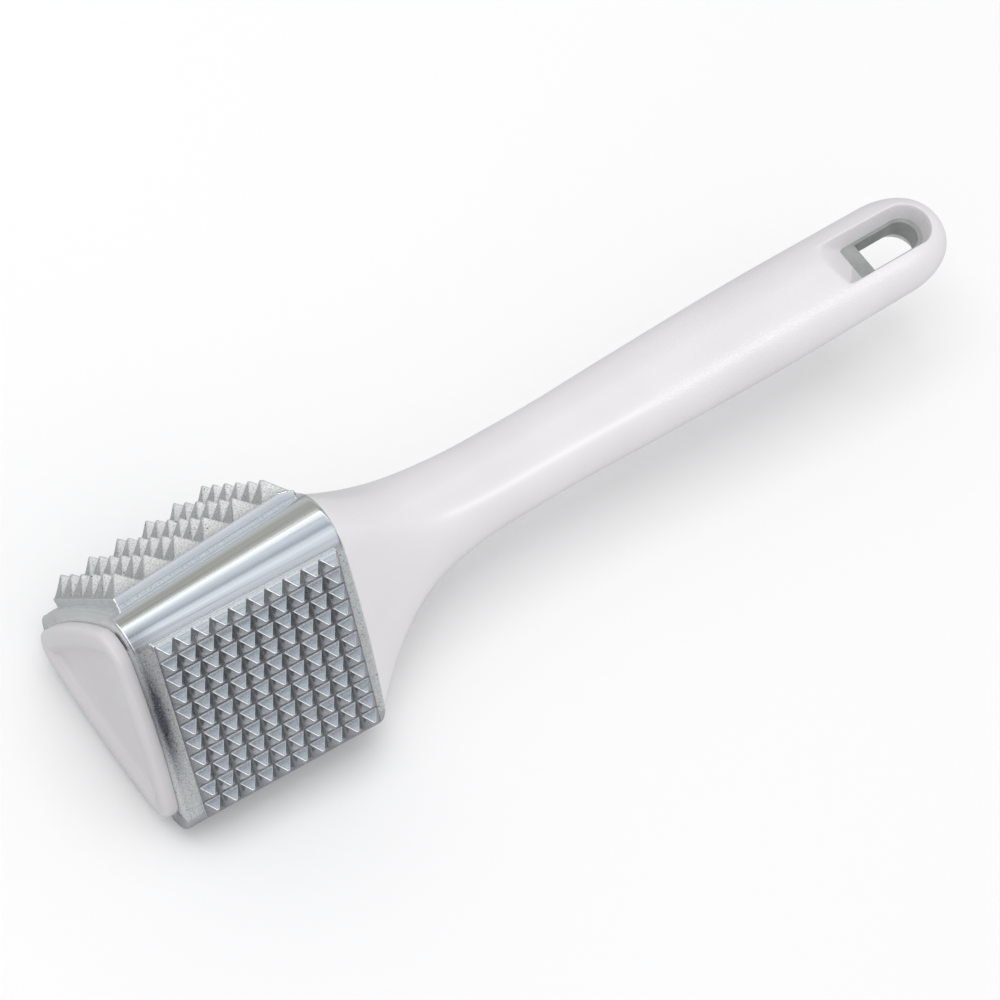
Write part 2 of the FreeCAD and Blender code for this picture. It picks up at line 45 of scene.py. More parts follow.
# ---------------------------------------------------------------- sizes (mm) and angles
HEAD_LENGTH = 57.5
INRADIUS_CAP, INRADIUS_NECK = 23.5, 26.5      # axis to the crown of a face, at each end
CORNER_CAP, CORNER_NECK = 7.4, 11.4           # radius of the long polished edges
CROWN = 258.0                                 # each side of the section is this arc
SIXTY = math.radians(60)
TAPER = math.atan((INRADIUS_NECK - INRADIUS_CAP) / HEAD_LENGTH)
AROUND = 18                                   # samples on each of a section's six arcs
WALL, SCREW_HOLE_RADIUS = 6.0, 3.3
COARSE_TURN, FINE_TURN, PLAIN_TURN = (math.radians(a) for a in (-60, 60, 180))
FIELD_BASE = 3.0                              # how far a field's block reaches into the wall

CAP_INRADIUS, CAP_CORNER, CAP_CROWN = 21.0, 7.1, 170.0

HANDLE_LENGTH = 208.5
FLARE_INSET = 1.4
NECK_RADIUS, SWELL_RADIUS, EYE_RADIUS = 12.1, 13.9, 13.8
GRIP_THINNING, EYE_THINNING = 0.86, 0.78      # height over width
SWELL_AT, EYE_AT = 150.0, 190.0               # from the head
RING_LEVEL = 3.1                              # half the core bar's thickness
LEDGE_START, LEDGE_END, LEDGE_HALF = 177.3, 201.5, 5.5     # the funnel's foot on that ring
FOOT_INWARDS, FOOT_SUNK = 0.15, 0.4           # the moulding's edge lies hidden in the ring
SHEET_SEAM, EYE_MIDDLE = 164.0, 188.5         # from the head
TIP_RAYS, RAY_STEPS = 150, 64                 # samples of the sheets around the eye


def in_part_frame(points):
    """Handle frame in mm to part frame in m: (p - foot) turned by the taper about Y.

    foot is the middle of the plain face, so that face comes to lie on Z = 0."""
    foot_x = HEAD_LENGTH / 2
    foot_z = -INRADIUS_CAP - foot_x * math.tan(TAPER)
    x, y, z = points[..., 0] - foot_x, points[..., 1], points[..., 2] - foot_z
    turned = (x * math.cos(TAPER) - z * math.sin(TAPER), y,
              x * math.sin(TAPER) + z * math.cos(TAPER))
    return np.stack(turned, -1) * 0.001


# ---------------------------------------------------------------- mesh helpers
def grid_faces(rows, cols, close_rows=False, close_cols=False):
    """Four corner numbers of each quad of a rows by cols grid, which may close on itself."""
    i = np.arange(rows if close_rows else rows - 1)[:, None]
    j = np.arange(cols if close_cols else cols - 1)[None, :]
    after_i, after_j = (i + 1) % rows, (j + 1) % cols
    corners = (i * cols + j, i * cols + after_j, after_i * cols + after_j, after_i * cols + j)
    return np.stack(corners, -1).reshape(-1, 4)


def write_mesh(name, points, faces, marks=None):
    """A mesh object from arrays; faces all have the same number of corners.

    marks maps an attribute's name to one number per point."""
    mesh = bpy.data.meshes.new(name)
    mesh.vertices.add(len(points))
    mesh.vertices.foreach_set("co", points.astype(np.float32).ravel())
    mesh.loops.add(faces.size)
    mesh.loops.foreach_set("vertex_index", faces.astype(np.int32).ravel())
    mesh.polygons.add(len(faces))
    mesh.polygons.foreach_set("loop_start", np.arange(0, faces.size, faces.shape[1]))
    mesh.update(calc_edges=True)
    for mark, values in (marks or {}).items():
        layer = mesh.attributes.new(mark, "FLOAT", "POINT")
        layer.data.foreach_set("value", np.asarray(values, np.float32).ravel())
    piece = bpy.data.objects.new(name, mesh)
    bpy.context.scene.collection.objects.link(piece)
    return piece


def finish_piece(piece, material, replaced, crease=None):
    """Welds seams and poles, points the faces outwards, shades, and puts it on the body.

    It replaces the CAD node named replaced."""
    mesh = piece.data
    work = bmesh.new()
    work.from_mesh(mesh)
    bmesh.ops.remove_doubles(work, verts=work.verts, dist=1e-6)
    bmesh.ops.recalc_face_normals(work, faces=work.faces)
    work.to_mesh(mesh)
    work.free()
    mesh.shade_smooth()
    if crease is not None:
        mesh.set_sharp_from_angle(angle=math.radians(crease))
    mesh.materials.append(material)
    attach(piece, "root")
    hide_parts(replaced)


def flow(x, knots, values):
    """A smooth curve through (knots, values): Hermite cubics with central-difference slopes."""
    knots, values = np.asarray(knots, float), np.asarray(values, float)
    slopes = np.gradient(values, knots)
    place = np.clip(np.searchsorted(knots, x) - 1, 0, len(knots) - 2)
    gap = knots[place + 1] - knots[place]
    t = (x - knots[place]) / gap
    near = (1 + 2 * t) * (1 - t) ** 2 * values[place] + t * (1 - t) ** 2 * gap * slopes[place]
    after = place + 1
    return near + t * t * (3 - 2 * t) * values[after] + t * t * (t - 1) * gap * slopes[after]


def three_sided(far, corner, lean):
    """Section points (rings, 6 * AROUND, 2) of three side arcs and three corner arcs.

    A corner arc of radius corner has its centre at distance far from the axis. A side arc
    spans lean to either side of its normal, and its centre lies ratio * far behind the axis,
    which makes it tangent to both corner arcs. Angles run from the bottom side's start."""
    far, corner, lean = (np.atleast_1d(np.asarray(v, float))[:, None] for v in (far, corner, lean))
    ratio = math.sin(SIXTY) / np.tan(lean) - 0.5
    crown = corner + far * np.hypot(ratio + 0.5, math.sin(SIXTY))
    step = np.arange(AROUND)[None, :] / AROUND
    parts = []
    for side in range(3):
        normal = -math.pi / 2 + side * 2 * SIXTY
        angle = normal - lean + 2 * lean * step
        parts.append(np.stack([-ratio * far * math.cos(normal) + crown * np.cos(angle),
                               -ratio * far * math.sin(normal) + crown * np.sin(angle)], -1))
        turn = normal + SIXTY
        angle = normal + lean + (2 * SIXTY - 2 * lean) * step
        parts.append(np.stack([far * math.cos(turn) + corner * np.cos(angle),
                               far * math.sin(turn) + corner * np.sin(angle)], -1))
    return np.concatenate(parts, 1)


def outline(inradius, corner, crown):
    """far and lean of a section whose sides, arcs of radius crown, pass inradius from the axis."""
    reach, gap = crown - inradius, crown - corner
    far = (np.sqrt(4 * gap ** 2 - 3 * reach ** 2) - reach) / 2
    return far, np.arctan2(far * math.sin(SIXTY), reach + far / 2)


def head_outline(x):
    """far, corner and lean of the casting's outline at x."""
    share = np.asarray(x, float) / HEAD_LENGTH
    corner = CORNER_CAP + (CORNER_NECK - CORNER_CAP) * share
    far, lean = outline(INRADIUS_CAP + (INRADIUS_NECK - INRADIUS_CAP) * share, corner, CROWN)
    return far, corner, lean


def sweep(x, sections):
    """Section points (rings, n, 2) set across the axis at x: an array (rings, n, 3)."""
    x = np.broadcast_to(np.asarray(x, float)[:, None], sections.shape[:2])
    return np.concatenate([x[..., None], sections], -1)


def spaced(*stops):
    """Numbers running through stops, given as start, then pairs (count, end)."""
    runs, last = [np.array([float(stops[0])])], float(stops[0])
    for count, end in stops[1:]:
        runs.append(np.linspace(last, end, count + 1)[1:])
        last = end
    return np.concatenate(runs)


# ---------------------------------------------------------------- materials
def node(tree, kind, inputs=None, **settings):
    """Adds a node; inputs are plain values or sockets to link from, by name or number."""
    made = tree.nodes.new(kind)
    for key, value in settings.items():
        setattr(made, key, value)
    for key, value in (inputs or {}).items():
        if isinstance(value, bpy.types.NodeSocket):
            tree.links.new(value, made.inputs[key])
        else:
            made.inputs[key].default_value = value
    return made


def maths(tree, operation, first, second, **settings):
    """The result of a Math node on two values or sockets."""
    return node(tree, "ShaderNodeMath", {0: first, 1: second}, operation=operation,
                **settings).outputs[0]


def rescaled(tree, value, start, end, to_start=0.0, to_end=1.0):
    """value carried from start..end to to_start..to_end, and held at those ends."""
    return node(tree, "ShaderNodeMapRange",
                {"Value": value, "From Min": start, "From Max": end,
                 "To Min": to_start, "To Max": to_end}).outputs[0]


def mixed(tree, share, first, second):
    """The colour first where share is 0, and second where it is 1."""
    first, second = ((*colour, 1.0) if isinstance(colour, tuple) else colour
                     for colour in (first, second))
    return node(tree, "ShaderNodeMix", {0: share, 6: first, 7: second},
                data_type="RGBA").outputs[2]


def ramp(tree, factor, stops):
    """A colour ramp through stops, given as (position, colour)."""
    made = node(tree, "ShaderNodeValToRGB", {"Fac": factor})
    points = made.color_ramp.elements
    while len(points) < len(stops):
        points.new(0.5)
    for point, (position, colour) in zip(points, stops):
        point.position = position
        point.color = (*colour, 1.0)
    return made.outputs["Color"]


def object_place(tree):
    """Object coordinates, in m."""
    return node(tree, "ShaderNodeTexCoord").outputs["Object"]


def part_of(tree, vector, axis):
    """One axis, X, Y or Z, of a vector socket."""
    return node(tree, "ShaderNodeSeparateXYZ", {0: vector}).outputs[axis]


def blank_material(name, **settings):
    """A material with its Principled shader, whose plain settings are given by socket name."""
    made = bpy.data.materials.new(name)
    made.use_nodes = True
    shader = made.node_tree.nodes["Principled BSDF"]
    for key, value in settings.items():
        shader.inputs[key.replace("_", " ")].default_value = value
    return made, made.node_tree, shader


def emboss(tree, shader, height, strength, distance):
    """A Bump node on the shader's Normal; distance is in m."""
    bump = node(tree, "ShaderNodeBump", {"Height": height, "Strength": strength,
                                         "Distance": distance})
    tree.links.new(bump.outputs[0], shader.inputs["Normal"])


def grit_group():
    """Noise on Object coordinates: a fine surface height, a slow mottling, and rare flecks."""
    tree = bpy.data.node_groups.new("grit", "ShaderNodeTree")
    for label, size in (("Grain size", 0.0004), ("Patch size", 0.006)):
        socket = tree.interface.new_socket(label, in_out="INPUT", socket_type="NodeSocketFloat")
        socket.default_value = size
    for label in ("Grain", "Patch", "Flecks"):
        tree.interface.new_socket(label, in_out="OUTPUT", socket_type="NodeSocketFloat")
    given, result = tree.nodes.new("NodeGroupInput"), tree.nodes.new("NodeGroupOutput")
    where = object_place(tree)
    grain = node(tree, "ShaderNodeTexNoise",
                 {"Vector": where, "Detail": 3.0, "Roughness": 0.65,
                  "Scale": maths(tree, "DIVIDE", 1.0, given.outputs["Grain size"])})
    patch = node(tree, "ShaderNodeTexNoise",
                 {"Vector": where, "Detail": 2.0,
                  "Scale": maths(tree, "DIVIDE", 1.0, given.outputs["Patch size"])})
    flecks = node(tree, "ShaderNodeTexNoise", {"Vector": where, "Scale": 900.0, "Detail": 1.0})
    rare = rescaled(tree, flecks.outputs["Fac"], 0.745, 0.78)
    tree.links.new(grain.outputs["Fac"], result.inputs["Grain"])
    tree.links.new(patch.outputs["Fac"], result.inputs["Patch"])
    tree.links.new(rare, result.inputs["Flecks"])
    return tree


GRIT = grit_group()


def place_grit(tree, grain_size, patch_size):
    """The outputs of the grit group, placed in a material; sizes are in m."""
    return node(tree, "ShaderNodeGroup", {"Grain size": grain_size, "Patch size": patch_size},
                node_tree=GRIT).outputs


def cast_metal(name):
    """Bright cast metal: blasted and dull where the polish mark is 0, linished where it is 1.

    Streaks run along the handle, and the around mark spreads them around it. Where the
    painted_shade mark rises, the colour is mixed towards dark grey: painted shade, and painted
    dark reflection on the casting beside the cap."""
    made, tree, shader = blank_material(name)
    polish, around, painted_shade = (node(tree, "ShaderNodeAttribute", attribute_name=mark).outputs["Fac"]
                            for mark in ("polish", "around", "painted_shade"))
    grit = place_grit(tree, 0.0004, 0.008)
    blasted = ramp(tree, grit["Grain"],
                   [(0.32, (0.42, 0.44, 0.43)), (0.42, (0.74, 0.77, 0.76)),
                    (0.55, (0.86, 0.88, 0.88)), (0.68, (1.0, 1.0, 1.0))])
    slow = maths(tree, "MULTIPLY", part_of(tree, object_place(tree), "X"), 14.0)
    track = node(tree, "ShaderNodeCombineXYZ", {0: slow, 1: around}).outputs[0]
    streak = node(tree, "ShaderNodeTexNoise",
                  {"Vector": track, "Scale": 0.9, "Detail": 4.0, "Roughness": 0.6})
    polished = ramp(tree, streak.outputs["Fac"],
                    [(0.30, (0.60, 0.61, 0.62)), (0.42, (0.78, 0.80, 0.82)),
                     (0.7, (0.88, 0.90, 0.92))])
    clean = mixed(tree, polish, blasted, polished)
    # Painted shade and painted dark reflection: the colour goes towards dark grey by the shade
    # mark, in patches from the grain.
    patchy = rescaled(tree, grit["Grain"], 0.3, 0.7, 1.25, 0.75)
    cover = maths(tree, "MULTIPLY", painted_shade, patchy, use_clamp=True)
    shade_mixed_colour = mixed(tree, cover, clean, (0.10, 0.11, 0.13))
    pits = maths(tree, "MULTIPLY", grit["Flecks"], maths(tree, "SUBTRACT", 1.0, polish))
    tree.links.new(mixed(tree, pits, shade_mixed_colour, (0.03, 0.03, 0.03)), shader.inputs["Base Color"])
    tree.links.new(rescaled(tree, polish, 0.0, 1.0, 0.6, 1.0), shader.inputs["Metallic"])
    tree.links.new(rescaled(tree, polish, 0.0, 1.0, 0.40, 0.15), shader.inputs["Roughness"])
    depth = rescaled(tree, polish, 0.0, 1.0, 1.0, 0.14)
    emboss(tree, shader, maths(tree, "MULTIPLY", grit["Grain"], depth), 0.9, 0.0001)
    return made


def white_plastic(name, grain):
    """Satin white moulding, faintly mottled; with grain, a leather texture past the neck."""
    made, tree, shader = blank_material(name, Roughness=0.30)
    grit = place_grit(tree, 0.0009, 0.03)
    colour = ramp(tree, grit["Patch"],
                  [(0.3, (0.655, 0.638, 0.648)), (0.7, (0.69, 0.676, 0.686))])
    tree.links.new(colour, shader.inputs["Base Color"])
    if grain:
        where = object_place(tree)
        fade = rescaled(tree, part_of(tree, where, "X"), 0.120, 0.132)
        cells = node(tree, "ShaderNodeTexVoronoi", {"Vector": where, "Scale": 2200.0},
                     feature="SMOOTH_F1")
        emboss(tree, shader, maths(tree, "MULTIPLY", cells.outputs["Distance"], fade), 0.7, 0.0001)
    else:
        emboss(tree, shader, grit["Grain"], 0.1, 0.00005)
    return made


def moulded_core(name):
    """Matt grey-green filled plastic with flow mottling."""
    made, tree, shader = blank_material(name, Roughness=0.62)
    grit = place_grit(tree, 0.0006, 0.004)
    colour = ramp(tree, grit["Patch"], [(0.3, (0.31, 0.325, 0.315)), (0.7, (0.40, 0.42, 0.41))])
    tree.links.new(colour, shader.inputs["Base Color"])
    emboss(tree, shader, grit["Grain"], 0.3, 0.0001)
    return made


def turned_metal(name, dark, light, roughness):
    """Metal with fine turning rings across the handle's axis."""
    made, tree, shader = blank_material(name, Metallic=1.0)
    rings = node(tree, "ShaderNodeTexWave", {"Vector": object_place(tree), "Scale": 500.0,
                                             "Distortion": 1.5, "Detail": 2.0}).outputs["Fac"]
    tree.links.new(ramp(tree, rings, [(0.0, dark), (1.0, light)]), shader.inputs["Base Color"])
    tree.links.new(rescaled(tree, rings, 0.0, 1.0, roughness, roughness + 0.12),
                   shader.inputs["Roughness"])
    return made


CAST = cast_metal("cast_metal")
WHITE_GRIP = white_plastic("white_grip", grain=True)
WHITE_CAP = white_plastic("white_cap", grain=False)
CORE = moulded_core("core_plastic")
ZINC = turned_metal("zinc_steel", (0.45, 0.46, 0.47), (0.66, 0.67, 0.68), 0.28)
BRASS = turned_metal("brass_insert", (0.55, 0.40, 0.16), (0.75, 0.58, 0.28), 0.3)


# ---------------------------------------------------------------- the casting
FACE_FLOOR = 20.0                             # a point further out than this is on the face
RUN_OUT = 3.6                                 # length over which a pad drops away


def face_height(points, turn):
    """How far points lie from the handle's axis, square to the face that is turned by turn."""
    return points[..., 2] * math.cos(turn) - points[..., 1] * math.sin(turn)


def build_casting():
    """The hollow body: rings run from the screw hole over the cavity, mouth and outside.

    Each ring is the casting's outline at x, inset by the wall in the cavity and by the rounded
    rims outside. The first and last rings are the screw hole's, and they join."""
    rims = [(0, 0.5), (0.1, 0.24), (0.3, 0.06), (0.5, 0), (56.1, 0),
            (56.5, 0.06), (56.9, 0.22), (57.2, 0.48), (57.42, 0.82), (HEAD_LENGTH, 1.15)]
    groove = [(0.8, 0), (0.95, 0.1), (1.1, 0.26), (1.3, 0.26), (1.5, 0.1), (1.65, 0)]
    rim_x, rim_inset = np.array(rims).T
    groove_x, groove_depth = np.array(groove).T
    outside = np.concatenate([rim_x[:4], groove_x, np.linspace(1.8, rim_x[4], 40), rim_x[5:]])
    inside = np.linspace(49.5, 0.6, 12)
    x = np.concatenate([[50.0, 50.0], inside, [0.0, 0.0], outside, [HEAD_LENGTH]])
    bevel = 0.6                                   # of the cavity's floor and mouth
    inset = np.concatenate([[0.0, WALL + bevel], np.full(len(inside), WALL), [WALL - bevel, 1.6],
                            np.interp(outside, rim_x, rim_inset), [0.0]])
    far, corner, lean = head_outline(x)
    cavity = inset >= WALL - bevel
    corner = np.where(cavity, np.maximum(corner - inset, 1.2), corner - inset)
    round_ring = np.zeros(len(x), bool)
    round_ring[[0, -1]] = True
    far, corner = np.where(round_ring, 0.0, far), np.where(round_ring, SCREW_HOLE_RADIUS, corner)
    points = sweep(x, three_sided(far, corner, lean))
    rings, count = points.shape[:2]

    # into_corner rises from 0 on the faces to 1 at the middle of a corner arc
    on_corner = np.arange(count) // AROUND % 2 == 1
    share = np.arange(count) % AROUND / AROUND
    into_corner = np.where(on_corner, np.minimum(share, 1 - share) * 2, 0.0)
    # the corners are linished, and so, in part, is the strip beside the coarse pad
    smooth_end = 0.6 * np.clip((4.2 - points[..., 0]) / 0.8, 0, 1)
    on_coarse = face_height(points, COARSE_TURN) > FACE_FLOOR
    polish = np.maximum(np.clip(into_corner * 6, 0, 1)[None, :], smooth_end * on_coarse)
    around = np.broadcast_to(np.cumsum(np.where(on_corner, 1.0, 2.6)), (rings, count))
    # a shallow groove behind the cap's end, on the three faces only
    sunk = np.interp(x, groove_x, groove_depth) * ~cavity
    depth = sunk[:, None] * (1 - np.clip(into_corner * 4, 0, 1))
    reach = np.hypot(points[..., 1], points[..., 2])
    points[..., 1:] *= (1 - depth / reach)[..., None]
    # painted dark reflection and painted shade lie on the fine face beside the cap: a dark
    # spot above its middle, and a paler band that grows towards the upper corner
    up = points[..., 1] * math.cos(FINE_TURN) + points[..., 2] * math.sin(FINE_TURN)
    spot = 0.9 * np.exp(-((points[..., 0] - 1.2) / 1.7) ** 2 - ((up - 6) / 14) ** 2)
    band = 0.35 * np.exp(-((points[..., 0] - 1.5) / 4.0) ** 2) * np.clip((up + 15) / 30, 0, 1)
    painted_shade = np.clip(spot + band, 0, 1) * (face_height(points, FINE_TURN) > FACE_FLOOR)
    piece = write_mesh("casting", in_part_frame(points).reshape(-1, 3),
                       grid_faces(rings, count, close_rows=True, close_cols=True),
                       {"polish": polish, "around": around, "painted_shade": painted_shade})
    finish_piece(piece, CAST, "head", crease=50)


def on_face(points, turn):
    """Face frame to handle frame: leaned by the taper, raised to the crown, turned about X."""
    x, y, z = points[..., 0], points[..., 1], points[..., 2]
    along = x * math.cos(TAPER) - z * math.sin(TAPER)
    out = x * math.sin(TAPER) + z * math.cos(TAPER) + INRADIUS_CAP
    return np.stack([along, y * math.cos(turn) - out * math.sin(turn),
                     y * math.sin(turn) + out * math.cos(turn)], -1)


def field_solid(name, turn, x, y, height, polish, painted_shade, wall_polish=0.0):
    """A closed block whose top is the height grid over x and y, with a small bevel all round.

    It reaches FIELD_BASE into the wall. Quads are cut along the diagonal whose ends differ
    less in height, which follows the teeth's ridges."""
    rows, cols = len(x), len(y)
    top = np.stack([*np.meshgrid(x, y, indexing="ij"), height], -1)
    number = np.arange(rows * cols).reshape(rows, cols)
    z = height.ravel()
    a, b, c, d = grid_faces(rows, cols).T
    level = np.abs(z[a] - z[c]) < np.abs(z[b] - z[d])
    first = np.where(level[:, None], np.stack([a, b, d], 1), np.stack([a, b, c], 1))
    second = np.where(level[:, None], np.stack([b, c, d], 1), np.stack([a, c, d], 1))
    faces = [first, second]

    rim = np.concatenate([number[0, :-1], number[:-1, -1], number[-1, :0:-1], number[:0:-1, 0]])
    edge = top.reshape(-1, 3)[rim]
    middle = np.array([x.mean(), y.mean()])
    half = np.array([np.ptp(x), np.ptp(y)]) / 2
    outwards = np.sign(edge[:, :2] - middle) * (np.abs(edge[:, :2] - middle) > half - 1e-9)
    loops, last, total = [], rim, rows * cols
    for spread, drop in ((0.06, 0.02), (0.16, 0.12), (0.18, 0.35), (0.18, FIELD_BASE)):
        ring = edge.copy()
        ring[:, :2] += outwards * spread
        ring[:, 2] = -FIELD_BASE if drop == FIELD_BASE else ring[:, 2] - drop
        now = total + np.arange(len(rim))
        faces.append(np.stack([last, now, np.roll(now, -1)], 1))
        faces.append(np.stack([last, np.roll(now, -1), np.roll(last, -1)], 1))
        loops.append(ring)
        last, total = now, total + len(rim)
    centre = np.array([[*middle, -FIELD_BASE]])
    faces.append(np.stack([last, np.full(len(rim), total), np.roll(last, -1)], 1))
    points = np.concatenate([top.reshape(-1, 3), *loops, centre])
    rest = len(points) - rows * cols
    # The third mark carries the painted shade to the material; it is zero on the walls and base.
    piece = write_mesh(name, in_part_frame(on_face(points, turn)), np.concatenate(faces),
                       {"polish": np.concatenate([polish.ravel(), np.full(rest, wall_polish)]),
                        "around": points[:, 1],
                        "painted_shade": np.concatenate([painted_shade.ravel(), np.zeros(rest)])})
    finish_piece(piece, CAST, "head")


def tent(share, tip, valley, hollow):
    """Profile of one tooth over share -1..1: a flat tip, a flank raised to the power hollow, and
    a flat valley."""
    flank = np.clip((1 - valley - np.abs(share)) / (1 - valley - tip), 0, 1)
    return flank ** hollow


def tooth_field(name, turn, pitch, height, counts, start, lift, tip, valley, fine, hollow,
                soften, wander, polish, painted_shade, painted_ridge_shade, wall_polish, last_row_painted_shade=1.0,
                painted_cap_side_shade=0.0, squeeze=1.0):
    """Square pyramids: the soft minimum of a tent along the face and a tent across it.

    counts are columns along the handle and rows across the face, with fine samples a tooth.
    The last row is the uppermost on the fine face and the lowest on the coarse one. Each tip
    strays from its place, and each height from its value, by a share of about wander. The pad
    under them, lift high, drops away over RUN_OUT at its handle-side end. painted_shade darkens
    the valleys as painted shade, times last_row_painted_shade in the last row.
    painted_ridge_shade adds painted shade on the ridges, and painted_cap_side_shade on the
    flanks that face the cap. squeeze narrows the outer half of the last row."""
    columns, rows = counts
    dice = np.random.default_rng(columns * 100 + rows)
    i, j = np.arange(columns * fine + 1), np.arange(rows * fine + 1)
    shift = dice.normal(0, wander, (2, columns, rows))
    scale = 1 + dice.normal(0, wander * 0.6, (columns, rows))
    cell_i, cell_j = np.minimum(i // fine, columns - 1), np.minimum(j // fine, rows - 1)
    u = ((i - cell_i * fine) / fine * 2 - 1)[:, None]
    v = ((j - cell_j * fine) / fine * 2 - 1)[None, :]
    pick = np.ix_(cell_i, cell_j)
    across = tent(u - shift[0][pick] * (1 - u * u), tip / pitch, valley / pitch, hollow)
    along = tent(v - shift[1][pick] * (1 - v * v), tip / pitch, valley / pitch, hollow)
    small = -soften * np.log(np.exp(-across / soften) + np.exp(-along / soften)
                             + np.exp(-1 / soften))
    floor = -soften * math.log(2 + math.exp(-1 / soften))
    teeth = np.clip((small - floor) / (1 - floor), 0, 1) * scale[pick]
    run_out = np.clip((columns - i / fine) * pitch / RUN_OUT, 0.08, 1)[:, None]
    z = lift * run_out ** 0.8 + height * teeth

    shine = polish[0] + (polish[1] - polish[0]) * teeth
    # Painted shade: the valleys are darkened (less in the last row), dark lines are painted along
    # the ridges, and the flanks that face the cap are darkened.
    row_painted_shade = np.where(cell_j[None, :] == rows - 1, last_row_painted_shade, 1.0) * painted_shade
    in_valley = row_painted_shade * (1 - teeth) ** 0.8
    on_ridge = painted_ridge_shade * np.exp(-((across - along) / 0.05) ** 2) * (teeth > 0.04)
    to_cap = painted_cap_side_shade * ((across < along) & (u < 0))
    used = np.broadcast_to(in_valley + on_ridge + to_cap, z.shape)
    y = (j / fine - rows / 2) * pitch
    last_tip = (rows / 2 - 0.5) * pitch
    y = np.where(y > last_tip, last_tip + (y - last_tip) * squeeze, y)
    field_solid(name, turn, start + i * pitch / fine, y, z, shine, used, wall_polish)


# ---------------------------------------------------------------- the end cap
def build_cap():
    """Rings (inset, x) from the dish's middle over the rim and edge, then inside the casting.

    Insets are from the cap's own outline as far as the plate's underside, and from the
    casting's further on. Once an inset uses up the corner radius, the corners stay a little
    round and the outline shrinks towards the axis."""
    dish = [(20.0, -0.80), (14.0, -0.82), (10.0, -0.86), (8.4, -0.95), (7.5, -1.12),
            (6.9, -1.40), (6.5, -1.76), (6.15, -2.20), (5.8, -2.64), (5.4, -3.00), (4.9, -3.28),
            (4.2, -3.46), (3.4, -3.56)]
    rim = [(2.4, -3.60), (1.5, -3.56), (1.0, -3.46), (0.65, -3.30), (0.38, -3.08),
           (0.17, -2.80), (0.05, -2.50), (0.0, -2.20), (0.0, -1.20), (0.02, -0.22),
           (0.10, -0.06), (0.25, 0.0), (1.2, 0.02)]
    skirt = [(6.1, 0.02), (6.15, 0.3), (6.15, 4.0), (6.15, 8.7), (6.3, 9.0), (7.8, 9.0),
             (7.95, 8.7), (7.95, 5.0), (7.95, 2.8), (9.0, 2.4), (22.0, 2.4)]
    inset, x = (np.array(part) for part in zip(*(dish + rim + skirt)))
    on_plate = np.arange(len(x)) < len(dish + rim)
    cap_far, cap_lean = outline(CAP_INRADIUS, CAP_CORNER, CAP_CROWN)
    far, corner, lean = head_outline(np.clip(x, 0, 10))
    far, corner = np.where(on_plate, cap_far, far), np.where(on_plate, CAP_CORNER, corner)
    lean = np.where(on_plate, cap_lean, lean)
    least_corner, shrink = 1.6, 1 / 0.54
    spare = np.maximum(inset - corner, 0.0)
    radius = np.maximum(corner - inset, 0.0) + least_corner * (1 - np.exp(-spare / least_corner))
    far = np.maximum(far - (inset - corner + radius) * shrink * (spare > 0), 0.0)
    points = sweep(x, three_sided(far, np.maximum(radius, 0.02), lean))
    points[0, :, 1:] = points[0, :, 1:].mean(0)
    points[-1, :, 1:] = points[-1, :, 1:].mean(0)
    rings, count = points.shape[:2]
    piece = write_mesh("cap_shell", in_part_frame(points).reshape(-1, 3),
                       grid_faces(rings, count, close_cols=True))
    finish_piece(piece, WHITE_CAP, "end_cap")


# ---------------------------------------------------------------- the handle
def handle_shape(x):
    """far, corner radius, lean and thinning of the handle's section at x from the head."""
    far_at_head, _, lean_at_head = head_outline(HEAD_LENGTH)
    root = CORNER_NECK - FLARE_INSET
    knots = [0, 4.5, 10.5, 18.5, 26.5, 34.5, 43, 52, 74, 100, SWELL_AT, 172, EYE_AT]
    far = far_at_head * np.array([1, .83, .62, .385, .2, .085, .025, 0, 0, 0, 0, 0, 0])
    corner = [root, root, root, NECK_RADIUS - 1.7, NECK_RADIUS - 0.9, NECK_RADIUS - 0.2,
              NECK_RADIUS + 0.1, NECK_RADIUS + 0.1, NECK_RADIUS,
              (NECK_RADIUS + SWELL_RADIUS) / 2 - 0.1, SWELL_RADIUS,
              (SWELL_RADIUS + EYE_RADIUS) / 2, EYE_RADIUS]
    lean = np.concatenate([np.radians([0, 1, 4, 8, 13, 18]) + lean_at_head,
                           np.radians([29, 30, 30, 30, 30, 30, 30])])
    thin = [1, 1, 1, 1, .99, .97, .95, .93, .91, GRIP_THINNING + .02, GRIP_THINNING,
            (GRIP_THINNING + EYE_THINNING) / 2, EYE_THINNING]
    dome = np.clip((x - EYE_AT) / (HANDLE_LENGTH - EYE_AT), 0, 1)
    radius = np.where(x > EYE_AT, EYE_RADIUS * (1 - dome ** 2) ** 0.4,
                      flow(np.minimum(x, EYE_AT), knots, corner))
    x = np.minimum(x, EYE_AT)
    return (np.maximum(flow(x, knots, far), 0), radius,
            np.clip(flow(x, knots, lean), lean_at_head, math.radians(30)),
            flow(x, knots, thin))


def eye_outline(bearing, start, end, half):
    """Distance from the eye's middle to a D outline along each bearing.

    The D has a straight end at start, sides at half from the axis and a round end; the two
    square corners are rounded by a high-power mean of the two straight limits."""
    centre = end - half - EYE_MIDDLE
    cosine, sine = np.cos(bearing), np.abs(np.sin(bearing)) + 1e-9
    to_side = half / sine
    to_start = (EYE_MIDDLE - start) / np.maximum(-cosine, 1e-9)
    straight = (to_side ** -14.0 + to_start ** -14.0) ** (-1 / 14)
    round_end = centre * cosine + np.sqrt(np.maximum(half ** 2 - (centre * sine) ** 2, 0))
    return np.where(to_side * cosine > centre, round_end, straight)


def soft_least(a, b, width):
    """The smaller of two heights, rounded over width where they cross."""
    return -width * np.logaddexp(-a / width, -b / width)


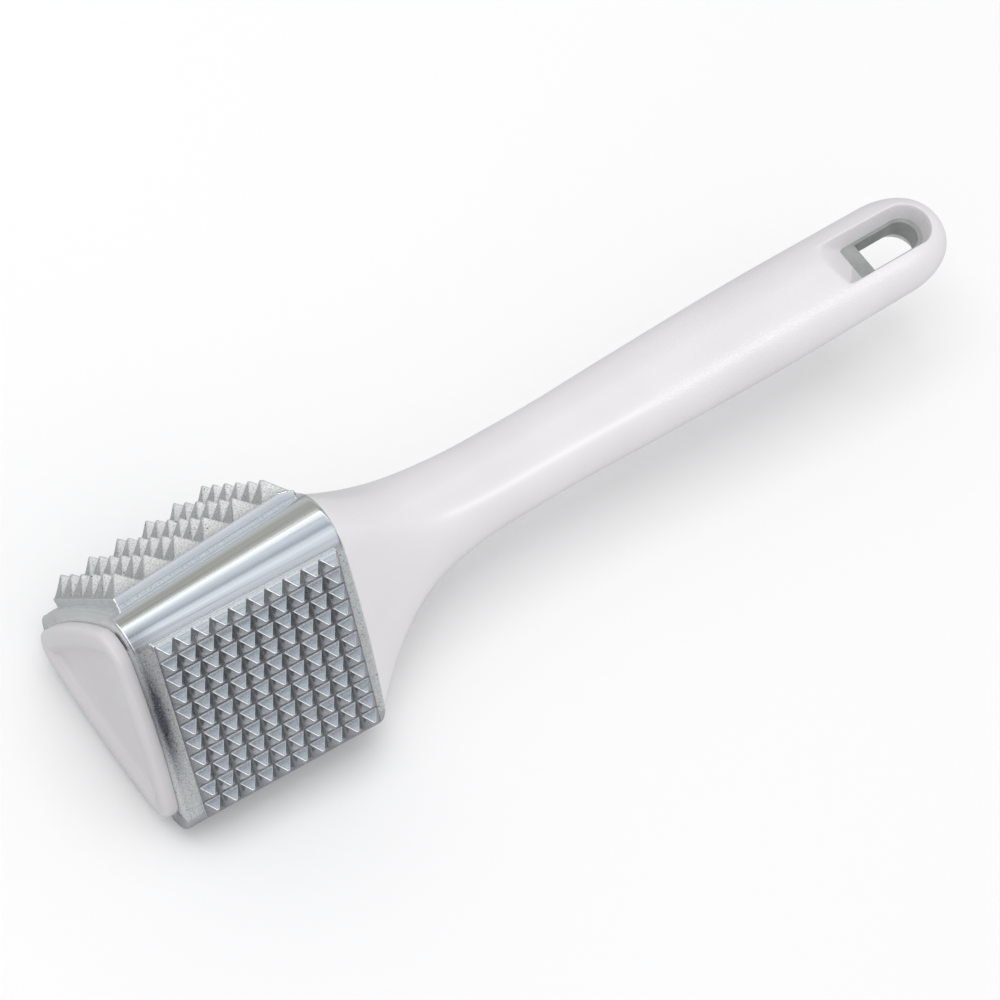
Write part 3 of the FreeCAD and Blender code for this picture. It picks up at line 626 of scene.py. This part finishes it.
def handle_tube():
    """Section rings from the closed end in the head as far as SHEET_SEAM."""
    start = [(0.0, 6.0), (0.0, 0.9), (0.05, 0.5), (0.25, 0.15), (0.6, 0.02)]    # (x, inset)
    start_x, start_inset = np.array(start).T
    along = spaced(1.0, (60, 60.0), (62, SHEET_SEAM))
    x = np.concatenate([start_x, along])
    inset = np.concatenate([start_inset, np.zeros(len(along))])
    far, corner, lean, thin = handle_shape(x)
    sections = three_sided(far, corner - inset, lean)
    sections[..., 1] *= thin[:, None]
    tube = sweep(x + HEAD_LENGTH, sections)
    tube[0, :, 1:] = 0.0
    return tube


def handle_edge(bearing):
    """Distance from the eye's middle to the handle's outline, by bisection on the distance."""
    low, high = np.zeros(len(bearing)), np.full(len(bearing), 60.0)
    for _ in range(40):
        reach = (low + high) / 2
        px, py = EYE_MIDDLE + reach * np.cos(bearing), np.abs(reach * np.sin(bearing))
        inside = (px < HANDLE_LENGTH) & (py < handle_shape(np.minimum(px, HANDLE_LENGTH))[1])
        low, high = np.where(inside, reach, low), np.where(inside, high, reach)
    return low


def build_handle():
    """A tube of sections from the head, then two sheets around the hanging eye and its wall.

    Each sheet's columns run along rays from a point in the eye, from the handle's outline in
    to the core ring. Its height is the soft minimum of the outside and the funnel, whose wall
    rises from the ring: gently towards the head, steeply elsewhere."""
    tube = handle_tube()
    upper_half = np.arange(2 * AROUND, 5 * AROUND + 1) % (6 * AROUND)
    seam = tube[-1, upper_half]
    to_seam = np.arctan2(seam[:, 1], seam[:, 0] - HEAD_LENGTH - EYE_MIDDLE)
    to_tip = np.linspace(to_seam[-1], to_seam[0], TIP_RAYS + 2)[1:-1]
    reach = handle_edge(to_tip)
    tip = np.stack([EYE_MIDDLE + reach * np.cos(to_tip), reach * np.sin(to_tip)], -1)
    outer = np.concatenate([seam[:, :2] - [HEAD_LENGTH, 0.0], tip])

    bearing = np.concatenate([to_seam, to_tip])
    reach = eye_outline(bearing, LEDGE_START + FOOT_INWARDS, LEDGE_END - FOOT_INWARDS,
                        LEDGE_HALF - FOOT_INWARDS)
    inner = np.stack([EYE_MIDDLE + reach * np.cos(bearing), reach * np.sin(bearing)], -1)
    share = ((1 - np.cos(np.pi * np.linspace(0, 1, RAY_STEPS))) / 2)[:, None, None]
    plan = outer + (inner - outer) * share
    px, py = plan[..., 0], plan[..., 1]

    _, radius, _, thin = handle_shape(px)
    outside = thin * np.sqrt(np.maximum(radius ** 2 - py ** 2, 0))
    round_centre = LEDGE_END - LEDGE_HALF
    from_axis = np.where(px < round_centre, np.abs(py), np.hypot(px - round_centre, py))
    side_wall = 4.5 * (from_axis - LEDGE_HALF)
    head_wall = 0.80 * (LEDGE_START - px)
    blend = 0.9
    funnel = RING_LEVEL + blend * np.logaddexp(side_wall / blend, head_wall / blend)
    height = soft_least(outside, funnel, 0.45)
    height = np.where(share[..., 0] < 0.02, outside, height)
    foot = RING_LEVEL - FOOT_SUNK
    height[0] = np.concatenate([seam[:, 2], np.zeros(TIP_RAYS)])
    height[-1] = foot

    cols = px.shape[1]
    sheets = [np.stack([px + HEAD_LENGTH, py, sign * height], -1) for sign in (1.0, -1.0)]
    well = np.stack([np.broadcast_to(inner[:, 0] + HEAD_LENGTH, (2, cols)),
                     np.broadcast_to(inner[:, 1], (2, cols)),
                     np.array([[1.0], [-1.0]]) * np.full(cols, foot)], -1)
    grids = [tube, *sheets, well]
    faces, begin = [], 0
    for grid in grids:
        faces.append(begin + grid_faces(*grid.shape[:2], close_cols=True))
        begin += grid.shape[0] * grid.shape[1]
    points = np.concatenate([grid.reshape(-1, 3) for grid in grids])
    piece = write_mesh("handle_shell", in_part_frame(points), np.concatenate(faces))
    finish_piece(piece, WHITE_GRIP, "handle")


def build_plain_flat():
    """The smooth panel on the plain face, level with its crown."""
    x, y = np.linspace(3.0, 54.5, 40), np.linspace(-26, 26, 40)
    level = np.zeros((len(x), len(y)))
    field_solid("plain_flat", PLAIN_TURN, x, y, level, polish=level + 0.3, painted_shade=level)


build_casting()
# The shade amounts below set the painted shade in the valleys, on the ridges and on the cap-side
# flanks.
tooth_field("fine_teeth", FINE_TURN, pitch=5.0, height=2.65, counts=(10, 11), start=4.6,
            lift=0.0, tip=0.3, valley=0.3, fine=16, hollow=1.06, soften=0.012, wander=0.012,
            polish=(0.8, 1.0), painted_shade=0.48, painted_ridge_shade=0.0, wall_polish=0.6, last_row_painted_shade=0.1)
tooth_field("coarse_teeth", COARSE_TURN, pitch=8.6, height=4.5, counts=(6, 6), start=3.7,
            lift=1.5, tip=0.25, valley=0.4, fine=24, hollow=1.12, soften=0.022, wander=0.012,
            polish=(0.1, 0.1), painted_shade=0.25, painted_ridge_shade=0.25, wall_polish=0.95, painted_cap_side_shade=0.24,
            squeeze=0.3)
build_plain_flat()
build_cap()
build_handle()

for name, material in (("core_bar", CORE), ("thread_insert", BRASS), ("clamp_screw", ZINC),
                       ("washer", ZINC)):
    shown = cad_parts[name]
    shown.data.materials.clear()
    shown.data.materials.append(material)


# ---------------------------------------------------------------- floor, lights, camera
FLOOR_LEVEL = -0.0003                         # m, just clear of the plain face


def paper_floor():
    """A pale floor, which mirrors see as grey: darker towards -Y, like a table's far edge."""
    corners = [(x, y, FLOOR_LEVEL) for x, y in ((-3, -3), (3, -3), (3, 3), (-3, 3))]
    floor = write_mesh("floor", np.array(corners), np.array([[0, 1, 2, 3]]))
    paper, tree, shader = blank_material("paper", Roughness=0.9)
    pale = ramp(tree, place_grit(tree, 0.002, 0.5)["Patch"],
                [(0.0, (0.93, 0.93, 0.93)), (1.0, (0.95, 0.95, 0.95))])
    across = rescaled(tree, part_of(tree, object_place(tree), "Y"), -0.25, 0.25)
    grey = ramp(tree, across, [(0.0, (0.07, 0.075, 0.08)), (0.2, (0.15, 0.16, 0.17)),
                               (0.36, (0.34, 0.35, 0.36)), (0.5, (0.50, 0.51, 0.51)),
                               (0.65, (0.46, 0.47, 0.46)), (1.0, (0.42, 0.43, 0.42))])
    mirrored = node(tree, "ShaderNodeLightPath").outputs["Is Glossy Ray"]
    tree.links.new(mixed(tree, mirrored, pale, grey), shader.inputs["Base Color"])
    floor.data.materials.append(paper)


def room():
    """Even soft light, which mirrors see as long panels above the mallet, parallel to X.

    A panel's brightness depends on its angle from overhead in the YZ plane. A brighter
    window stands on the cap's side. Seen directly, the room is as pale as the floor."""
    panels = [(-100, 0.05, 0.05, 0.05), (-88, 0.14, 0.14, 0.145), (-80, 0.42, 0.41, 0.40),
              (-68, 0.34, 0.34, 0.34), (-60, 0.62, 0.63, 0.67), (-48, 0.70, 0.72, 0.76),
              (-36, 0.76, 0.79, 0.83), (-27, 0.90, 0.94, 0.98), (-19, 0.78, 0.82, 0.88),
              (-12, 0.40, 0.43, 0.47), (-5, 0.52, 0.56, 0.62), (3, 0.68, 0.73, 0.78),
              (11, 0.72, 0.76, 0.80), (19, 1.05, 1.10, 1.14), (28, 1.40, 1.42, 1.44),
              (33, 0.90, 0.91, 0.88), (38, 0.46, 0.46, 0.43), (48, 0.41, 0.41, 0.375),
              (66, 0.41, 0.41, 0.37), (76, 0.52, 0.53, 0.52), (86, 0.60, 0.62, 0.63),
              (100, 0.45, 0.47, 0.49)]
    widest = 110                                  # degrees from overhead, past the last panel
    world = bpy.data.worlds.new("room")
    world.use_nodes = True
    tree = world.node_tree
    away = node(tree, "ShaderNodeTexCoord").outputs["Generated"]
    angle = maths(tree, "ARCTAN2", part_of(tree, away, "Y"), part_of(tree, away, "Z"))
    wall = ramp(tree, rescaled(tree, angle, math.radians(-widest), math.radians(widest)),
                [((degrees + widest) / (2 * widest), colour) for degrees, *colour in panels])
    by_cap = rescaled(tree, part_of(tree, away, "X"), -0.30, -0.50)
    raised = rescaled(tree, part_of(tree, away, "Z"), 0.2, 0.4)
    lit = mixed(tree, maths(tree, "MULTIPLY", by_cap, raised), wall, (1.7, 1.7, 1.72))
    path = node(tree, "ShaderNodeLightPath")
    direct = mixed(tree, path.outputs["Is Camera Ray"], (0.80, 0.80, 0.81), (1.0, 1.0, 1.0))
    seen = mixed(tree, path.outputs["Is Glossy Ray"], direct, lit)
    tree.links.new(seen, tree.nodes["Background"].inputs["Color"])
    world.cycles.sampling_method = "NONE"
    bpy.context.scene.world = world
    bpy.context.scene.view_settings.view_transform = "Standard"


def lamp(name, bearing, distance, size, radiance, mirrored=True, only=()):
    """A soft lamp, placed along bearing from the mallet and facing it.

    Its long side runs level; power = radiance * pi * area. One that isn't mirrored lights
    surfaces but doesn't show in their gloss. only names the pieces it lights, if not all."""
    aim = Vector((0.05, 0.0, 0.03))
    bearing = Vector(bearing).normalized()
    data = bpy.data.lights.new(name, "AREA")
    data.shape = "RECTANGLE"
    data.size, data.size_y = size
    data.energy = radiance * math.pi * size[0] * size[1]
    made = bpy.data.objects.new(name, data)
    made.visible_glossy = mirrored
    if only:
        made.light_linking.receiver_collection = bpy.data.collections.new(name + "_lights")
        for piece in only:
            made.light_linking.receiver_collection.objects.link(bpy.data.objects[piece])
    long_way = Vector((1, 0, 0))
    short_way = bearing.cross(long_way).normalized()
    long_way = short_way.cross(bearing)
    turn = Matrix((long_way, short_way, bearing)).transposed().to_4x4()
    made.matrix_world = Matrix.Translation(aim + bearing * distance) @ turn
    bpy.context.scene.collection.objects.link(made)


def camera():
    """A long lens looking down on the mallet from its cap end, rolled a little."""
    azimuth, elevation, roll = (math.radians(a) for a in (-54.403, 58.395, -20.692))
    look = Vector((-math.sin(azimuth) * math.cos(elevation),
                   math.cos(azimuth) * math.cos(elevation), -math.sin(elevation)))
    level = look.cross(Vector((0, 0, 1))).normalized()
    upright = level.cross(look)
    up = upright * math.cos(roll) + level * math.sin(roll)
    right = look.cross(up)
    data = bpy.data.cameras.new("camera")
    data.lens, data.sensor_width = 110.81, 36.0
    made = bpy.data.objects.new("camera", data)
    turn = Matrix((right, up, -look)).transposed().to_4x4()
    made.matrix_world = Matrix.Translation(Vector((-0.25275, -0.24559, 0.69803))) @ turn
    bpy.context.scene.collection.objects.link(made)
    bpy.context.scene.camera = made


paper_floor()
room()
lamp("overhead", (-0.10, 0.15, 0.98), 1.2, (1.0, 0.8), 1.9, mirrored=False)
lamp("sparkle", (0.5, 0.5, 0.7), 1.1, (0.15, 0.12), 18.0, only=["coarse_teeth"])
lamp("strip", (0.37, -0.66, 0.66), 1.1, (0.8, 0.04), 30.0, only=["handle_shell"])
camera()
